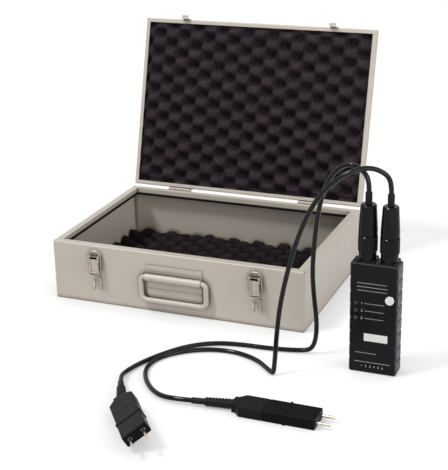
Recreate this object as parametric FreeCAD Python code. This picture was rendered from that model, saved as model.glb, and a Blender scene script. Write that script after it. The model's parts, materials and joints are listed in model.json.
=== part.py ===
import FreeCAD, Part
import math
import os

# Hand-held phase tester on two probe leads, beside its open foam-lined carry case.
# Millimetres, +Z up. The origin is the centre of the case's underside and the case's front faces -Y.

V = FreeCAD.Vector
ALONG_X = V(1, 0, 0)
ALONG_Y = V(0, 1, 0)
ALONG_Z = V(0, 0, 1)
ORIGIN = V(0, 0, 0)

# Case: folded sheet steel
case_w = 400.0
case_d = 281.0
base_h = 92.5
sheet = 1.2
fold_r = 2.0
rim_w = 12.0
rim_lip = 7.0
trim_t = 2.6
trim_h = 4.0
relief_d = 3.2
relief_depth = 4.0
lid_depth = 12.0
lid_rim_w = 6.5
lid_gap = 0.6
lid_open_deg = 105.9

# Egg-crate foam
foam_gap = 1.5
base_foam_t = 6.8
lid_foam_t = 4.6
bump_pitch_x = 44.5
bump_pitch_y = 31.0
bump_base_r = 12.6
bump_tip_r = 6.0
bump_cap = 2.6
bump_h = 13.0
bump_root = 1.0
foam_skew_deg = -2.7
foam_swing = 0.8

# Butt hinges on the back
hinge_x = 115.0
hinge_w = 40.0
knuckle_r = 2.5
knuckle_gap = 0.2
knuckle_split = 0.4
lid_knuckle = 14.0
hinge_pin_r = 1.25
hinge_pin_proud = 0.5
leaf_t = 1.2
base_leaf_h = 20.0
leaf_top_margin = 2.0
hinge_rivet_span = 26.0

# Rivets
rivet_r = 1.5
rivet_head_r = 2.7
rivet_head_h = 1.1
rivet_tail_h = 0.8
pin_fit = 0.05

# Toggle latches on the front, heights taken down from the case's rim
latch_x = 128.0
latch_t = 1.0
ear_t = 1.0
ear_gap = 0.5
ear_reach = 9.0
ear_top = 13.0
ear_bottom = 24.0
latch_neck_half = 5.5
latch_lip_top = 48.5
latch_lip_h = 3.2
latch_lip_reach = 3.6
foot_half_gap = 3.2
foot_w = 4.6
foot_bottom = 69.5
foot_rivet_rise = 4.5
latch_upper_rivet = 36.0
lever_half = 6.5
lever_t = 1.0
lever_face = 8.4
lever_back = 3.0
lever_top = 14.5
lever_flange_bottom = 40.5
lever_bottom = 44.0
lever_flare = 1.8
lever_flare_top = 18.0
lever_curl = 2.8
lever_panel_margin = 1.6
lever_panel_depth = 0.3
lever_pivot_out = 6.0
lever_pivot_drop = 18.0
lever_pin_r = 1.5
lever_pin_end = 0.3
bail_r = 1.0
bail_fit = 0.05
bail_side_gap = 0.8
bail_pivot_out = 4.5
bail_pivot_drop = 37.0
bail_top_drop = 7.0
bail_top_half = 4.2
bail_waist_drop = 12.5
bail_bend = 2.2
strike_w = 10.4
strike_t = 1.1
strike_stand = 0.4
strike_gap = 0.7
strike_lip_h = 5.5
strike_notch = 3.8
strike_top_margin = 1.5

# Folding handle on the front
handle_w = 89.0
handle_t = 1.2
handle_top = 18.5
handle_bottom = 70.5
handle_axis_drop = 36.5
handle_rod_r = 3.75
handle_fit = 0.08
barrel_wall = 1.5
handle_out = 5.45
handle_half = 52.0
handle_drop = 36.0
handle_top_bend = 6.5
handle_low_bend = 10.0
emboss_h = 0.4
emboss_w = 1.2
emboss_drops = (26.5, 56.0)

# Tester body: two moulded shells
tester_x = 323.3
tester_front = -230.5
tester_w = 64.0
tester_d = 28.0
tester_h = 155.0
tester_wall = 2.2
tester_edge_r = 3.0
seam = 0.5
groove_r = 4.0
groove_depth = 1.1
groove_pitch = 19.0
groove_count = 7
groove_first_z = 20.0

# Tester fixings and inside
post_x = 26.4
post_r = 3.7
post_zs = (8.5, 134.0)
screw_r = 1.4
screw_head_r = 2.7
screw_head_h = 1.8
screw_fit = 0.06
screw_bite = 9.0
board_w = 50.0
board_bottom = 60.0
board_top = 126.0
board_t = 1.6
board_set = 9.0
board_boss_r = 2.6
board_boss_x = 20.0
board_boss_inset = 4.0
chip_w = 16.0
chip_h = 9.0
chip_t = 2.0
battery_w = 26.5
battery_t = 17.5
battery_h = 46.5
battery_gap = 0.3
battery_round = 1.95
stud_r = 2.9
stud_h = 2.6
stud_x = 6.35
clip_t = 4.0
clip_d = 13.0
door_half = 17.0
door_bottom = 6.0
door_top = 63.0
door_plate_t = 1.2
door_ledge = 2.2
door_head_ledge = 6.6
door_gap = 0.3
door_screw_drop = 4.4
door_screw_r = 1.2
door_screw_len = 6.0

# Tester face
led_x = -23.0
led_top_z = 99.7
led_pitch = 10.5
led_count = 3
led_r = 2.5
led_rim_r = 3.1
led_rim_h = 1.0
led_proud = 0.9
led_gap = 0.15
dome_steps = 3
button_x = 21.7
button_z = 108.1
button_r = 5.75
button_proud = 2.6
button_round = 0.8
button_gap = 0.3
button_flange = 0.9
button_flange_t = 1.0
button_travel = 1.5
switch_w = 8.0
cap_x = -18.3
cap_zs = (52.0, 44.0)
cap_r = 2.8
cap_proud = 0.5
cap_set = 1.2
label_x = 4.2
label_z = 52.1
label_w = 31.5
label_h = 10.7
label_t = 0.3

# Round connectors on the tester's top
socket_shift = 2.0
socket_pitch = 29.0
flange_w = 25.0
flange_t = 2.5
flange_corner = 2.5
flange_screw = 10.2
flange_screw_r = 1.0
flange_head_r = 1.7
flange_head_h = 1.1
socket_r = 9.6
socket_nut_r = 11.6
socket_nut_round = 0.6
socket_bore = 7.5
socket_rear_r = 9.0
socket_rear = 11.0
socket_rise = 26.9
socket_floor = 4.0
ring_r = 12.8
ring_h = 21.2
ring_gap = 0.3
ring_lip_t = 1.8
ring_chamfer = 0.8
knurl_count = 28
knurl_r = 0.9
knurl_depth = 0.45
plug_nose_gap = 0.3
plug_flange_h = 3.2
plug_neck_r = 8.2
plug_collar_r = 12.4
plug_collar_h = 9.0
plug_groove = 0.35
plug_chamfer = 0.8
plug_top_r = 10.5
plug_top_round = 1.4
plug_h = 41.8
sleeve_r = 4.5
sleeve_h = 16.0
sleeve_round = 0.8

# Probes, the same at both lead ends
probe_w = 34.0
probe_t = 14.5
probe_len = 99.5
grip_len = 31.0
shoulder = 8.0
neck_len = 4.0
probe_edge_r = 1.6
probe_seam = 0.8
ridge_at = 58.0
ridge_len = 3.0
ridge_h = 0.9
probe_pin_r = 2.0
probe_pin_len = 18.0
probe_pin_pitch = 19.0
probe_pin_set = 10.0
probe_pin_root_r = 2.6
probe_pin_tip = 0.6
probe_pin_well = 1.2
boot_len = 54.0
boot_root_r = 6.8
boot_tip_r = 5.9
boot_root_len = 5.0
boot_ribs = 8
boot_rib_depth = 0.9
rib_rise_end = 0.1
rib_top_end = 0.6
rib_fall_end = 0.7
boot_sleeve_r = 4.1
boot_sleeve_len = 17.0

# Where each probe's shoulder lies with its yaw, pitch and roll, and how its soft boot is bent aside
probe_a_place = (V(62.1, -438.6, 15.2), -54.3, 5.5, 31.2)
probe_b_place = (V(199.5, -382.0, 7.25), -0.3, 0.0, 0.0)
boot_a_turn = (-62.0, 4.5)
boot_b_turn = (8.7, 0.0)

# Leads
lead_r = 3.25
lead_end_run = 20.0
lead_first_run = 14.5
arc_share = 0.45
lead_left_way = [
    (303.0, -216.0, 274.5), (287.5, -214.5, 282.0), (270.5, -212.0, 275.5), (256.5, -209.0, 259.0),
    (246.0, -206.0, 235.0), (239.0, -203.5, 204.0), (234.0, -202.0, 164.0), (231.0, -200.8, 122.0),
    (233.5, -200.2, 84.0), (237.5, -199.9, 50.0), (234.5, -200.0, 23.0), (222.5, -199.5, 5.0),
    (203.0, -204.0, 3.3), (170.0, -209.5, 3.4), (132.0, -210.5, 3.3), (96.0, -217.5, 3.4),
    (64.0, -239.0, 3.3), (42.0, -270.5, 3.4), (23.0, -309.0, 3.3), (17.0, -341.0, 4.6)]
lead_right_way = [
    (333.0, -221.5, 276.0), (315.0, -231.0, 285.0), (291.0, -240.5, 279.5), (269.0, -249.0, 263.0),
    (251.5, -256.0, 240.5), (237.5, -260.7, 210.0), (226.5, -265.0, 176.0), (217.0, -268.7, 136.0),
    (210.0, -271.7, 98.0), (206.4, -273.7, 62.0), (204.8, -275.3, 33.0), (203.5, -276.6, 14.0),
    (200.5, -276.2, 4.2), (190.0, -267.8, 3.4), (172.0, -251.0, 3.3), (149.0, -240.0, 3.4),
    (124.0, -235.0, 3.3), (93.0, -240.0, 3.4), (62.0, -258.0, 3.3), (40.0, -285.0, 3.4),
    (35.5, -315.0, 3.3), (46.0, -344.0, 3.4), (66.0, -370.5, 3.3), (89.0, -388.0, 4.6)]

# Places that follow from the sizes
case_front = -case_d / 2
case_back = case_d / 2
hinge_y = case_back + knuckle_gap + knuckle_r
hinge_z = base_h + lid_gap / 2
lid_rim_z = base_h + lid_gap
ear_half = lever_half + ear_gap
wire_half = ear_half + ear_t + bail_side_gap + bail_r
lever_pivot = V(0, case_front - lever_pivot_out, base_h - lever_pivot_drop)
bail_pivot = V(0, case_front - bail_pivot_out, base_h - bail_pivot_drop)
handle_pivot = V(0, case_front - handle_out, base_h - handle_axis_drop)
socket_y = tester_d / 2
flange_top = tester_h + flange_t
socket_top = flange_top + socket_rise
neck_bottom = socket_top + plug_flange_h
collar_bottom = neck_bottom + ring_gap + ring_lip_t + ring_gap
ring_low = collar_bottom - ring_gap - ring_h
plug_top = collar_bottom + plug_h
sleeve_top = plug_top + sleeve_h


os.makedirs("parts", exist_ok=True)


def box(x0, x1, y0, y1, z0, z1):
    return Part.makeBox(x1 - x0, y1 - y0, z1 - z0, V(x0, y0, z0))


def front_box(x0, x1, out0, out1, z0, z1):
    """Box on the case's front, from out0 to out1 ahead of it."""
    return box(x0, x1, case_front - out1, case_front - out0, z0, z1)


def rod(radius, start, end):
    return Part.makeCylinder(radius, (end - start).Length, start, end - start)


def round_all(shape, radius):
    return shape.makeFillet(radius, shape.Edges)


def round_edges(shape, radius, wanted):
    """Fillet the edges whose centre passes the test."""
    return shape.makeFillet(radius, [edge for edge in shape.Edges if wanted(edge.CenterOfMass)])


def turned(profile):
    """Solid of revolution about Z through (radius, height) points."""
    corners = [V(r, 0, z) for r, z in profile]
    outline = Part.makePolygon(corners + corners[:1])
    return Part.Face(outline).revolve(ORIGIN, ALONG_Z, 360)


def plate(outline, thickness):
    """Flat plate standing in the XZ plane, from y = 0 towards -Y."""
    corners = [V(x, 0, z) for x, z in outline]
    face = Part.Face(Part.makePolygon(corners + corners[:1]))
    return face.extrude(V(0, -thickness, 0))


def moved(shape, offset):
    copy = shape.copy()
    copy.translate(offset)
    return copy


def spun(shape, centre, axis, degrees):
    copy = shape.copy()
    copy.rotate(centre, axis, degrees)
    return copy


def mirrored(shape):
    return shape.mirror(ORIGIN, ALONG_X)


def rounded_path(points, bend=None):
    """Straight runs joined by tangent arcs. With no bend given, each arc is as large as its runs allow."""
    edges = []
    radii = []
    last = points[0]
    for before, corner, after in zip(points, points[1:], points[2:]):
        back = before - corner
        ahead = after - corner
        half_turn = (math.pi - back.getAngle(ahead)) / 2
        radius = bend or arc_share * min(back.Length, ahead.Length) / math.tan(half_turn)
        to_back = V(back).normalize()
        to_ahead = V(ahead).normalize()
        tangent = radius * math.tan(half_turn)
        start = corner + to_back * tangent
        end = corner + to_ahead * tangent
        inward = (to_back + to_ahead).normalize()
        middle = corner + inward * (radius / math.cos(half_turn) - radius)
        edges.append(Part.LineSegment(last, start).toShape())
        edges.append(Part.Arc(start, middle, end).toShape())
        radii.append(radius)
        last = end
    edges.append(Part.LineSegment(last, points[-1]).toShape())
    return Part.Wire(edges), radii


def bent_rod(points, radius, bend=None):
    path, radii = rounded_path(points, bend)
    section = Part.Wire([Part.Circle(points[0], points[1] - points[0], radius).toShape()])
    return path.makePipeShell([section], True, False), path.Length, radii


def save(name, *shapes):
    for shape in shapes:
        if not shape.isValid() or shape.Volume <= 0:
            raise ValueError(name + " did not build")
    solids = [solid for shape in shapes for solid in shape.Solids]
    whole = solids[0] if len(solids) == 1 else Part.makeCompound(solids)
    whole.exportStep("parts/" + name + ".step")
    print(name, len(solids), "solids", round(whole.Volume / 1000, 2), "cm3")


def to_open(shape):
    """Turn a piece of the closed lid about the hinge pins to where the lid stands open."""
    return spun(shape, V(0, hinge_y, hinge_z), ALONG_X, -lid_open_deg)


# Rivets: a domed head on the face at z = 0, the shank below it and the formed tail
def rivet(grip):
    dome_r = (rivet_head_r ** 2 + rivet_head_h ** 2) / (2 * rivet_head_h)
    dome = Part.makeSphere(dome_r, V(0, 0, rivet_head_h - dome_r))
    head = dome.common(Part.makeCylinder(rivet_head_r + 1, rivet_head_h + 1))
    shank = Part.makeCylinder(rivet_r, grip, V(0, 0, -grip))
    tail = Part.makeCylinder(rivet_head_r, rivet_tail_h, V(0, 0, -grip - rivet_tail_h))
    return head.fuse([shank, tail])


def rivet_at(place, outward, grip):
    piece = rivet(grip)
    turn = FreeCAD.Rotation(ALONG_Z, outward)
    piece.Placement = FreeCAD.Placement(place, turn)
    return piece


def rivet_hole(place, outward):
    reach = outward * (2 * rivet_head_r)
    return rod(rivet_r + pin_fit, place - reach, place + reach)


hinge_xs = (-hinge_x, hinge_x)
latch_xs = (-latch_x, latch_x)
lid_leaf_bottom = hinge_z + knuckle_r + ear_gap
lid_leaf_top = lid_rim_z + lid_depth - leaf_top_margin
base_rivet_z = hinge_z - knuckle_r - base_leaf_h / 2
lid_rivet_z = (lid_leaf_bottom + lid_leaf_top) / 2
base_hinge_rivets = [V(x + side * hinge_rivet_span / 2, case_back + leaf_t, base_rivet_z)
                     for x in hinge_xs for side in (-1, 1)]
lid_hinge_rivets = [V(x + side * hinge_rivet_span / 2, case_back + leaf_t, lid_rivet_z)
                    for x in hinge_xs for side in (-1, 1)]
foot_centre = foot_half_gap + foot_w / 2
foot_rivet_z = base_h - foot_bottom + foot_rivet_rise
latch_rivets = [V(x + offset, case_front - latch_t, z) for x in latch_xs
                for offset, z in ((-foot_centre, foot_rivet_z), (foot_centre, foot_rivet_z),
                                  (0, base_h - latch_upper_rivet))]
strike_rivet_z = lid_rim_z + lid_depth / 2
strike_rivets = [V(x, case_front - strike_stand - strike_t, strike_rivet_z) for x in latch_xs]


# Case base and lid pans
def folded_pan(depth, rim):
    """Open sheet-metal pan standing on z = 0, with a rim folded inwards round its mouth."""
    half_x = case_w / 2
    half_y = case_d / 2
    pan = round_all(box(-half_x, half_x, -half_y, half_y, 0, depth), fold_r)
    inner_x = half_x - sheet
    inner_y = half_y - sheet
    hollow = box(-inner_x, inner_x, -inner_y, inner_y, sheet, depth - sheet)
    mouth = box(rim - half_x, half_x - rim, rim - half_y, half_y - rim, depth / 2, depth + 1)
    return pan.cut(hollow).cut(mouth)


def rim_ring(outer_inset, inner_inset, z0, z1):
    outer_x = case_w / 2 - outer_inset
    outer_y = case_d / 2 - outer_inset
    inner_x = case_w / 2 - inner_inset
    inner_y = case_d / 2 - inner_inset
    return box(-outer_x, outer_x, -outer_y, outer_y, z0, z1).cut(
        box(-inner_x, inner_x, -inner_y, inner_y, z0 - 1, z1 + 1))


base_pan = folded_pan(base_h, rim_w)
base_pan = base_pan.fuse(rim_ring(rim_w - sheet, rim_w, base_h - rim_lip, base_h - sheet / 2))
base_pan = base_pan.removeSplitter()
relief_x = case_w / 2 - relief_d / 2
relief_y = case_d / 2 - relief_d
for side_x in (-1, 1):
    for side_y in (-1, 1):
        corner = V(side_x * relief_x, side_y * relief_y, base_h - relief_depth)
        base_pan = base_pan.cut(rod(relief_d / 2, corner, corner + ALONG_Z * (relief_depth + 1)))
for place in base_hinge_rivets:
    base_pan = base_pan.cut(rivet_hole(place, ALONG_Y))
for place in latch_rivets:
    base_pan = base_pan.cut(rivet_hole(place, -ALONG_Y))
save("base_pan", base_pan)

trim_inset = rim_w - sheet / 2
trim_bottom = base_h - rim_lip - trim_h
rim_trim = rim_ring(trim_inset - trim_t / 2, trim_inset + trim_t / 2, trim_bottom, base_h - rim_lip)
save("rim_trim", rim_trim)

lid_pan = spun(folded_pan(lid_depth, lid_rim_w), ORIGIN, ALONG_X, 180)
lid_pan = moved(lid_pan, V(0, 0, lid_rim_z + lid_depth))
for place in lid_hinge_rivets:
    lid_pan = lid_pan.cut(rivet_hole(place, ALONG_Y))
for place in strike_rivets:
    lid_pan = lid_pan.cut(rivet_hole(place, -ALONG_Y))
save("lid_pan", to_open(lid_pan))


# Egg-crate foam pads: a slab with its valleys at z = 0 and staggered round-topped bumps
def foam_bump():
    slope_z = bump_h - bump_cap
    cap_r = (bump_tip_r ** 2 + bump_cap ** 2) / (2 * bump_cap)
    half_angle = math.asin(bump_tip_r / cap_r) / 2
    mid = V(cap_r * math.sin(half_angle), 0, bump_h - cap_r + cap_r * math.cos(half_angle))
    root_r = bump_base_r + (bump_base_r - bump_tip_r) * bump_root / slope_z
    root = V(root_r, 0, -bump_root)
    tip_edge = V(bump_tip_r, 0, slope_z)
    top = V(0, 0, bump_h)
    foot = V(0, 0, -bump_root)
    edges = [Part.LineSegment(foot, root), Part.LineSegment(root, tip_edge),
             Part.Arc(tip_edge, mid, top), Part.LineSegment(top, foot)]
    outline = Part.Wire([edge.toShape() for edge in edges])
    return Part.Face(outline).revolve(ORIGIN, ALONG_Z, 360), root_r


def bump_places(half_x, half_y):
    """Centres of a staggered lattice, turned by the skew the sheet was cut with."""
    skew = math.radians(foam_skew_deg)
    count_x = int(2 * half_x / bump_pitch_x) + 3
    count_y = int(2 * half_y / bump_pitch_y) + 3
    for i in range(-count_x, count_x + 1):
        for j in range(-count_y, count_y + 1):
            if (i + j) % 2:
                continue
            x = i * bump_pitch_x / 2
            y = j * bump_pitch_y / 2
            yield V(x * math.cos(skew) - y * math.sin(skew), x * math.sin(skew) + y * math.cos(skew), 0)


def egg_crate(half_x, half_y, thickness, mouth, tall, low_h):
    """Pad whose bumps stay inside the mouth's half sizes; those past the tall half sizes are cut off low."""
    bump, root_r = foam_bump()
    bumps = []
    for place in bump_places(half_x, half_y):
        out_x = abs(place.x)
        out_y = abs(place.y)
        if out_x > mouth[0] or out_y > mouth[1]:
            continue
        is_tall = out_x < tall[0] and out_y < tall[1]
        if is_tall and out_x + root_r < mouth[0] and out_y + root_r < mouth[1]:
            bumps.append(moved(bump, place))
        else:
            top = bump_h + bump_cap if is_tall else low_h
            bumps.append(moved(bump, place).common(box(-mouth[0], mouth[0], -mouth[1], mouth[1], -bump_root, top)))
    slab = box(-half_x, half_x, -half_y, half_y, -thickness, 0)
    return slab.fuse(bumps)


foam_x = case_w / 2 - sheet - foam_gap
foam_y = case_d / 2 - sheet - foam_gap
base_foam = egg_crate(foam_x, foam_y, base_foam_t, (foam_x, foam_y), (foam_x, foam_y), bump_h)
save("base_foam", moved(base_foam, V(0, 0, sheet + base_foam_t)))

# The lid's bumps dip into the base between its rims, and stay low where they would meet a rim
lid_valley_z = lid_rim_z + lid_depth - sheet - lid_foam_t
low_bump_h = lid_valley_z - lid_rim_z - lid_gap
waist_r = bump_base_r - (bump_base_r - bump_tip_r) * low_bump_h / (bump_h - bump_cap)
lid_mouth = [size / 2 - lid_rim_w - foam_gap for size in (case_w, case_d)]
lid_tall = [size / 2 - rim_w - foam_swing - waist_r for size in (case_w, case_d)]
lid_foam = egg_crate(foam_x, foam_y, lid_foam_t, lid_mouth, lid_tall, low_bump_h)
lid_foam = spun(lid_foam, ORIGIN, ALONG_X, 180)
save("lid_foam", to_open(moved(lid_foam, V(0, 0, lid_valley_z))))


# Butt hinges, made closed: two base knuckles with one lid knuckle between them
def knuckle(x0, x1):
    return rod(knuckle_r, V(x0, hinge_y, hinge_z), V(x1, hinge_y, hinge_z))


def hinge_bore(x):
    reach = V(hinge_w, 0, 0)
    centre = V(x, hinge_y, hinge_z)
    return rod(hinge_pin_r + pin_fit, centre - reach, centre + reach)


def base_leaf(x):
    half = hinge_w / 2
    inner = lid_knuckle / 2 + knuckle_split
    low = hinge_z - knuckle_r - base_leaf_h
    leaf = box(x - half, x + half, case_back, case_back + leaf_t, low, hinge_z - knuckle_r - ear_gap)
    for x0, x1 in ((x - half, x - inner), (x + inner, x + half)):
        web = box(x0, x1, case_back, case_back + leaf_t, hinge_z - 2 * knuckle_r, hinge_z)
        leaf = leaf.fuse([web, knuckle(x0, x1)])
    leaf = leaf.cut(hinge_bore(x)).removeSplitter()
    for place in base_hinge_rivets:
        leaf = leaf.cut(rivet_hole(place, ALONG_Y))
    return leaf


def lid_leaf(x):
    half = hinge_w / 2
    inner = lid_knuckle / 2
    leaf = box(x - half, x + half, case_back, case_back + leaf_t, lid_leaf_bottom, lid_leaf_top)
    web = box(x - inner, x + inner, case_back, case_back + leaf_t, hinge_z, lid_leaf_bottom + ear_gap)
    leaf = leaf.fuse([web, knuckle(x - inner, x + inner)])
    leaf = leaf.cut(hinge_bore(x)).removeSplitter()
    for place in lid_hinge_rivets:
        leaf = leaf.cut(rivet_hole(place, ALONG_Y))
    return leaf


for side, x in zip(("left", "right"), hinge_xs):
    save("hinge_base_leaf_" + side, base_leaf(x))
    save("hinge_lid_leaf_" + side, to_open(lid_leaf(x)))
    pin_half = V(hinge_w / 2 + hinge_pin_proud, 0, 0)
    pin_centre = V(x, hinge_y, hinge_z)
    save("hinge_pin_" + side, rod(hinge_pin_r, pin_centre - pin_half, pin_centre + pin_half))
save("hinge_base_rivets", *[rivet_at(place, ALONG_Y, leaf_t + sheet) for place in base_hinge_rivets])
save("hinge_lid_rivets", *[to_open(rivet_at(place, ALONG_Y, leaf_t + sheet)) for place in lid_hinge_rivets])


# Toggle latches, made on the middle plane and moved out to each side
def latch_plate():
    outer = ear_half + ear_t
    top = base_h - ear_top
    ear_low = base_h - ear_bottom
    lip_top = base_h - latch_lip_top
    foot_low = base_h - foot_bottom
    body = front_box(-outer, outer, 0, latch_t, ear_low, top)
    neck = front_box(-latch_neck_half, latch_neck_half, 0, latch_t, lip_top - latch_lip_h, ear_low)
    lip = front_box(-lever_half, lever_half, 0, latch_lip_reach, lip_top - latch_lip_h, lip_top)
    lip = round_edges(lip, latch_lip_h / 3, lambda c: c.y < case_front - latch_lip_reach + pin_fit)
    pieces = [neck, lip]
    for sign in (-1, 1):
        ear_x = sorted((sign * ear_half, sign * outer))
        ear = front_box(ear_x[0], ear_x[1], 0, ear_reach, ear_low, top)
        tip_y = case_front - ear_reach
        ear = round_edges(ear, ear_reach / 3, lambda c: abs(c.y - tip_y) < pin_fit and abs(c.x) > ear_half
                          and abs(abs(c.x) - ear_half - ear_t / 2) < pin_fit
                          and min(abs(c.z - top), abs(c.z - ear_low)) < pin_fit)
        foot_x = sorted((sign * foot_half_gap, sign * (foot_half_gap + foot_w)))
        foot = front_box(foot_x[0], foot_x[1], 0, latch_t, foot_low + foot_w / 2, lip_top)
        toe = V(sign * foot_centre, case_front, foot_low + foot_w / 2)
        pieces += [ear, foot, rod(foot_w / 2, toe, toe - ALONG_Y * latch_t)]
    body = body.fuse(pieces).removeSplitter()
    reach = V(2 * outer, 0, 0)
    return body.cut(rod(lever_pin_r + pin_fit, lever_pivot - reach, lever_pivot + reach))


def latch_lever():
    top = base_h - lever_top
    flare_z = base_h - lever_flare_top
    low = base_h - lever_bottom
    wide = lever_half + lever_flare
    outline = [(-lever_half, top), (lever_half, top), (lever_half, flare_z), (wide, low + lever_flare),
               (wide, low), (-wide, low), (-wide, low + lever_flare), (-lever_half, flare_z)]
    face = moved(plate(outline, lever_t), V(0, case_front - lever_face + lever_t, 0))
    curl = front_box(-wide, wide, lever_face - lever_t, lever_face + lever_curl, low, low + lever_t)
    flange_low = base_h - lever_flange_bottom
    flanges = [front_box(x0, x0 + lever_t, lever_back, lever_face, flange_low, top)
               for x0 in (-lever_half, lever_half - lever_t)]
    lever = face.fuse(flanges + [curl]).removeSplitter()
    margin = lever_panel_margin
    panel = front_box(margin - lever_half, lever_half - margin, lever_face - lever_panel_depth, lever_face + 1,
                      low + 3 * margin, top - 2 * margin)
    reach = V(2 * lever_half, 0, 0)
    lever = lever.cut(panel)
    lever = lever.cut(rod(lever_pin_r + pin_fit, lever_pivot - reach, lever_pivot + reach))
    return lever.cut(rod(bail_r + bail_fit, bail_pivot - reach, bail_pivot + reach))


def latch_bail():
    y = bail_pivot.y
    foot_z = bail_pivot.z
    waist_z = base_h - bail_waist_drop
    top_z = base_h - bail_top_drop
    inner = lever_half - 1.5 * lever_t
    half = [V(-inner, y, foot_z), V(-wire_half, y, foot_z), V(-wire_half, y, waist_z),
            V(-bail_top_half, y, top_z), V(0, y, top_z)]
    side, length, radii = bent_rod(half, bail_r, bail_bend)
    return side.fuse(mirrored(side)).removeSplitter()


def strike():
    """Hook plate riveted to the lid's front edge, made closed."""
    half = strike_w / 2
    low = base_h - bail_top_drop + bail_r + strike_gap
    top = lid_rim_z + lid_depth - strike_top_margin
    back = strike_stand
    front = strike_stand + strike_t
    tip = front + strike_notch + strike_t
    pad = front_box(-half, half, 0, front, lid_rim_z + strike_top_margin, top)
    tongue = front_box(-half, half, back, front, low, lid_rim_z + 2 * strike_top_margin)
    floor = front_box(-half, half, back, tip, low, low + strike_t)
    lip = front_box(-half, half, tip - strike_t, tip, low, low + strike_lip_h)
    hook = pad.fuse([tongue, floor, lip]).removeSplitter()
    return hook.cut(rivet_hole(V(0, case_front, strike_rivet_z), -ALONG_Y))


lever_pin_half = V(ear_half + ear_t + lever_pin_end, 0, 0)
for side, x in zip(("left", "right"), latch_xs):
    across = V(x, 0, 0)
    plate_piece = moved(latch_plate(), across)
    for place in latch_rivets:
        plate_piece = plate_piece.cut(rivet_hole(place, -ALONG_Y))
    save("latch_plate_" + side, plate_piece)
    save("latch_lever_" + side, moved(latch_lever(), across))
    save("latch_bail_" + side, moved(latch_bail(), across))
    save("latch_pin_" + side, moved(rod(lever_pin_r, lever_pivot - lever_pin_half, lever_pivot + lever_pin_half),
                                    across))
    save("strike_" + side, to_open(moved(strike(), across)))
save("latch_rivets", *[rivet_at(place, -ALONG_Y, latch_t + sheet) for place in latch_rivets])
save("strike_rivets", *[to_open(rivet_at(place, -ALONG_Y, strike_stand + strike_t + sheet))
                        for place in strike_rivets])


# Handle: a plate rolled round the upper rod of a folding bail
def handle_plate():
    half = handle_w / 2
    bore_r = handle_rod_r + handle_fit
    pad = front_box(-half, half, 0, handle_t, base_h - handle_bottom, base_h - handle_top)
    ridges = [front_box(-half, half, 0, handle_t + emboss_h, base_h - drop, base_h - drop + emboss_w)
              for drop in emboss_drops]
    reach = V(half, 0, 0)
    barrel = rod(bore_r + barrel_wall, handle_pivot - reach, handle_pivot + reach)
    barrel = barrel.common(front_box(-half, half, 0, 4 * handle_out, 0, base_h))
    bore = rod(bore_r, handle_pivot - reach * 2, handle_pivot + reach * 2)
    return pad.fuse(ridges + [barrel]).cut(bore).removeSplitter()


def handle_bail():
    y = handle_pivot.y
    top_z = handle_pivot.z
    low_z = top_z - handle_drop
    middle_z = (top_z + low_z) / 2
    upper = [V(0, y, top_z), V(-handle_half, y, top_z), V(-handle_half, y, middle_z)]
    lower = [V(-handle_half, y, middle_z), V(-handle_half, y, low_z), V(0, y, low_z)]
    upper_rod = bent_rod(upper, handle_rod_r, handle_top_bend)[0]
    lower_rod = bent_rod(lower, handle_rod_r, handle_low_bend)[0]
    half = upper_rod.fuse(lower_rod)
    return half.fuse(mirrored(half)).removeSplitter()


save("handle_plate", handle_plate())
save("handle_bail", handle_bail())

# Tester, made with its foot's front edge centred on the origin, then moved to where it stands
tester_place = V(tester_x, tester_front, 0)
seam_y = tester_d / 2
inner_x = tester_w / 2 - tester_wall
inner_back = tester_d - tester_wall
socket_xs = [socket_shift + side * socket_pitch / 2 for side in (-1, 1)]


def save_tester(name, *shapes):
    save(name, *[moved(shape, tester_place) for shape in shapes])


def y_rod(radius, x, z, y0, y1):
    return rod(radius, V(x, y0, z), V(x, y1, z))


def tester_block():
    half = tester_w / 2
    block = round_all(box(-half, half, 0, tester_d, 0, tester_h), tester_edge_r)
    for number in range(groove_count):
        z = groove_first_z + number * groove_pitch
        for sign in (-1, 1):
            x = sign * (half + groove_r - groove_depth)
            block = block.cut(y_rod(groove_r, x, z, -1, tester_d + 1))
    seam_cut = box(-half, half, seam_y - seam / 2, seam_y + seam / 2, 0, tester_h).cut(
        box(seam - half, half - seam, 0, tester_d, seam, tester_h - seam))
    return block.cut(seam_cut)


def socket_holes():
    return [rod(socket_rear_r + pin_fit, V(x, socket_y, tester_h - 3 * tester_wall), V(x, socket_y, tester_h + 1))
            for x in socket_xs]


post_places = [(sign * post_x, z) for sign in (-1, 1) for z in post_zs]
boss_places = [(sign * board_boss_x, z) for sign in (-1, 1)
               for z in (board_bottom + board_boss_inset, board_top - board_boss_inset)]
led_zs = [led_top_z - number * led_pitch for number in range(led_count)]
hollow = box(-inner_x, inner_x, tester_wall, inner_back, tester_wall, tester_h - tester_wall)
block = tester_block()
board_back = board_set + board_t

front_shell = block.common(box(-tester_w, tester_w, -1, seam_y, -1, tester_h + 1)).cut(hollow)
front_fill = [y_rod(post_r, x, z, tester_wall / 2, seam_y) for x, z in post_places]
front_fill += [y_rod(board_boss_r, x, z, tester_wall / 2, board_set) for x, z in boss_places]
front_shell = front_shell.fuse(front_fill).common(block)
front_cuts = [y_rod(screw_r + screw_fit, x, z, seam_y - screw_bite, seam_y + 1) for x, z in post_places]
front_cuts += [y_rod(led_r + led_gap, led_x, z, -1, 2 * tester_wall) for z in led_zs]
front_cuts += [y_rod(cap_r, cap_x, z, -1, cap_set) for z in cap_zs]
front_cuts.append(y_rod(button_r + button_gap, button_x, button_z, -1, 2 * tester_wall))
save_tester("tester_front_shell", front_shell.cut(front_cuts + socket_holes()).removeSplitter())

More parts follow.
